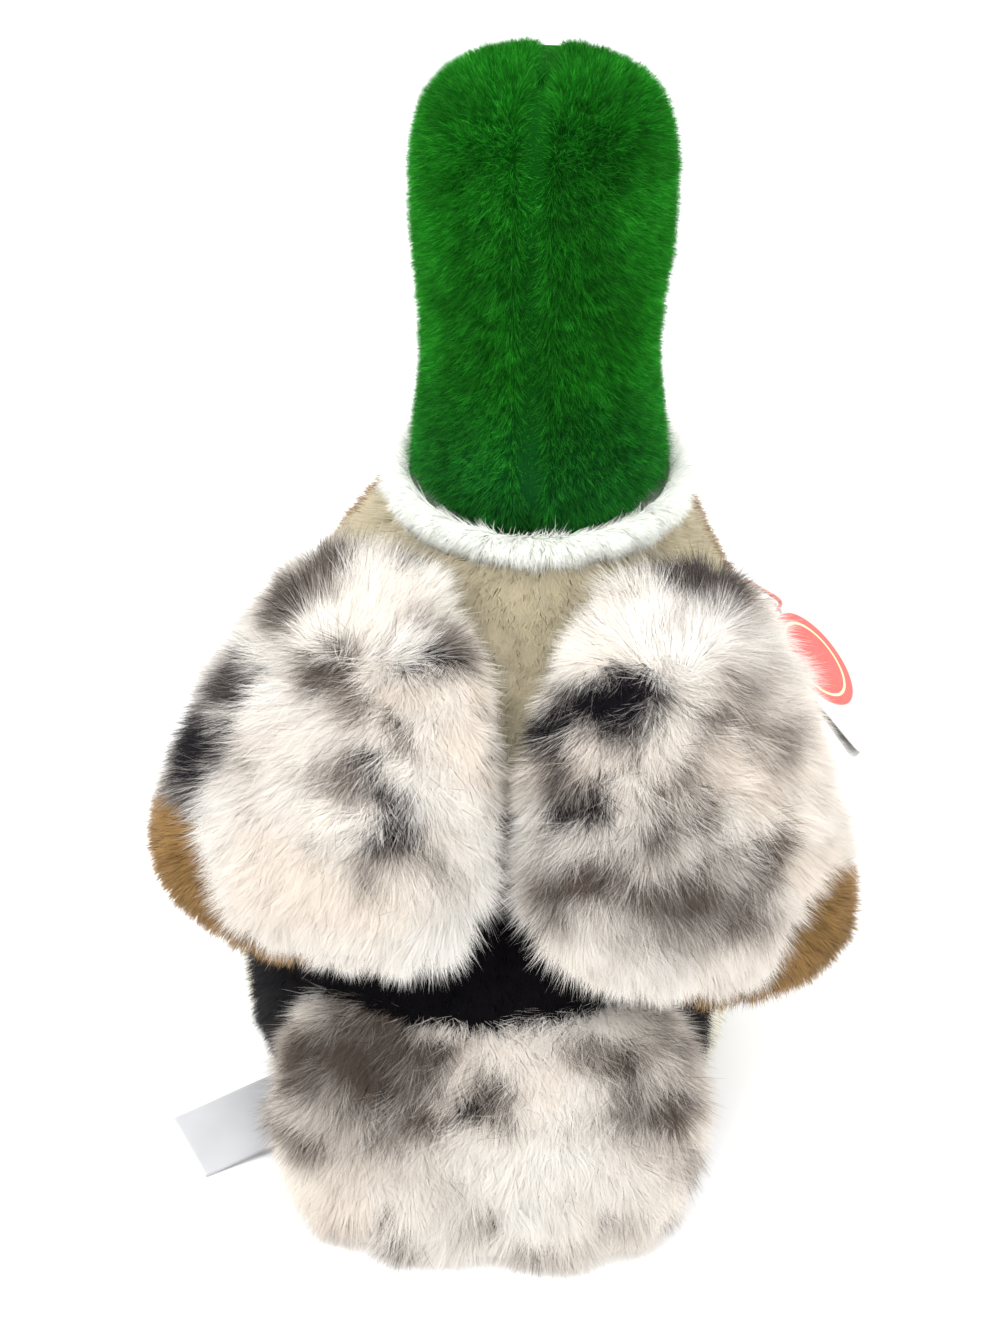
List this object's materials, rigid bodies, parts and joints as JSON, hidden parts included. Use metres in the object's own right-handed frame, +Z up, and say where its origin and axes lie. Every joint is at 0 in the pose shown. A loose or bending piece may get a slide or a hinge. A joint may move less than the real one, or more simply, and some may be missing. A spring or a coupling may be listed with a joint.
{
  "type": "plush duck",
  "caption": "Sitting plush mallard drake: pile-fabric panels over filling, swivelling neck, padded wings and tail, felt bill, webbed feet, card tag and sewn label.",
  "frame": {"origin": "middle of the flat face that the drake sits on", "axes": "+Z up, -Y the way the drake faces, +X its left side"},
  "size_m": [0.2182, 0.2546, 0.3118],
  "materials": {
    "green_pile": "dense short pile",
    "white_pile": "fluffy short pile",
    "taupe_pile": "short pile",
    "black_pile": "short pile",
    "camel_pile": "short pile",
    "cream_pile": "short pile",
    "marbled_pile": "long pile, cream with grey-brown and charcoal blotches",
    "fibre_filling": "loose polyester fibre",
    "pellet_cloth": "plain woven cloth",
    "yellow_felt": "felted velour",
    "orange_felt": "felted velour",
    "black_plastic": "polished",
    "natural_plastic": "moulded",
    "white_card": "coated card",
    "red_thread": "twisted thread",
    "satin_ribbon": "woven satin"
  },
  "bodies": {
    "trunk": {"back_panel": "taupe_pile", "rump_panel": "black_pile", "breast_panel": "camel_pile", "belly_panel": "cream_pile", "body_filling": "fibre_filling", "pellet_bag": "pellet_cloth"},
    "collar": {"neck_ring": "white_pile"},
    "head": {"head_panel_left": "green_pile", "head_panel_right": "green_pile", "head_filling": "fibre_filling", "bill_upper": "yellow_felt", "bill_lower": "yellow_felt", "eye_left": "black_plastic", "eye_right": "black_plastic", "eye_washer_left": "natural_plastic", "eye_washer_right": "natural_plastic"},
    "wing_left": {"wing_cover_left": "marbled_pile", "wing_lining_left": "camel_pile", "wing_filling_left": "fibre_filling"},
    "wing_right": {"wing_cover_right": "marbled_pile", "wing_lining_right": "camel_pile", "wing_filling_right": "fibre_filling"},
    "tail": {"tail_cover": "marbled_pile", "tail_underside": "marbled_pile", "tail_filling": "fibre_filling"},
    "foot_left": {"foot_upper_left": "orange_felt", "foot_sole_left": "orange_felt"},
    "foot_right": {"foot_upper_right": "orange_felt", "foot_sole_right": "orange_felt"},
    "tag": {"hang_tag": "white_card", "tag_loop": "red_thread"},
    "label": {"sewn_label": "satin_ribbon"}
  },
  "joints": [
    {"name": "neck_turn", "type": "hinge", "parent": "trunk", "child": "collar", "pos_m": [0, -0.04, 0.1948], "axis": [0, 0, 1], "range_deg": [-40, 40]},
    {"name": "neck_nod", "type": "hinge", "parent": "collar", "child": "head", "pos_m": [0, -0.04, 0.1948], "axis": [1, 0, 0], "range_deg": [-12, 18], "stiffness_Nm_per_rad": 0.8},
    {"name": "wing_left_lift", "type": "hinge", "parent": "trunk", "child": "wing_left", "pos_m": [0.041, -0.003, 0.169], "axis": [0.7649, -0.5592, -0.3196], "range_deg": [0, 50], "stiffness_Nm_per_rad": 0.3},
    {"name": "wing_right_lift", "type": "hinge", "parent": "trunk", "child": "wing_right", "pos_m": [-0.039, -0.005, 0.169], "axis": [0.7649, 0.5592, 0.3196], "range_deg": [0, 50], "stiffness_Nm_per_rad": 0.3},
    {"name": "tail_lift", "type": "hinge", "parent": "trunk", "child": "tail", "pos_m": [0.00385, 0.08111, 0.06612], "axis": [1, 0, 0], "range_deg": [0, 30], "stiffness_Nm_per_rad": 0.3},
    {"name": "foot_left_flex", "type": "hinge", "parent": "trunk", "child": "foot_left", "pos_m": [0.04228, -0.06493, 0.0065], "axis": [-0.9848, 0.1736, 0], "range_deg": [0, 15], "stiffness_Nm_per_rad": 0.1},
    {"name": "foot_right_flex", "type": "hinge", "parent": "trunk", "child": "foot_right", "pos_m": [-0.02908, -0.06493, 0.0065], "axis": [-0.9848, -0.1736, 0], "range_deg": [0, 15], "stiffness_Nm_per_rad": 0.1},
    {"name": "tag_swing", "type": "hinge", "parent": "trunk", "child": "tag", "pos_m": [-0.061, -0.0662, 0.1244], "axis": [0.2762, 0.9206, 0.2762], "range_deg": [0, 40]},
    {"name": "label_flex", "type": "hinge", "parent": "trunk", "child": "label", "pos_m": [0.0618, 0.0545, 0.0095], "axis": [0.5612, -0.7383, 0.3741], "range_deg": [0, 15], "stiffness_Nm_per_rad": 0.002}
  ]
}
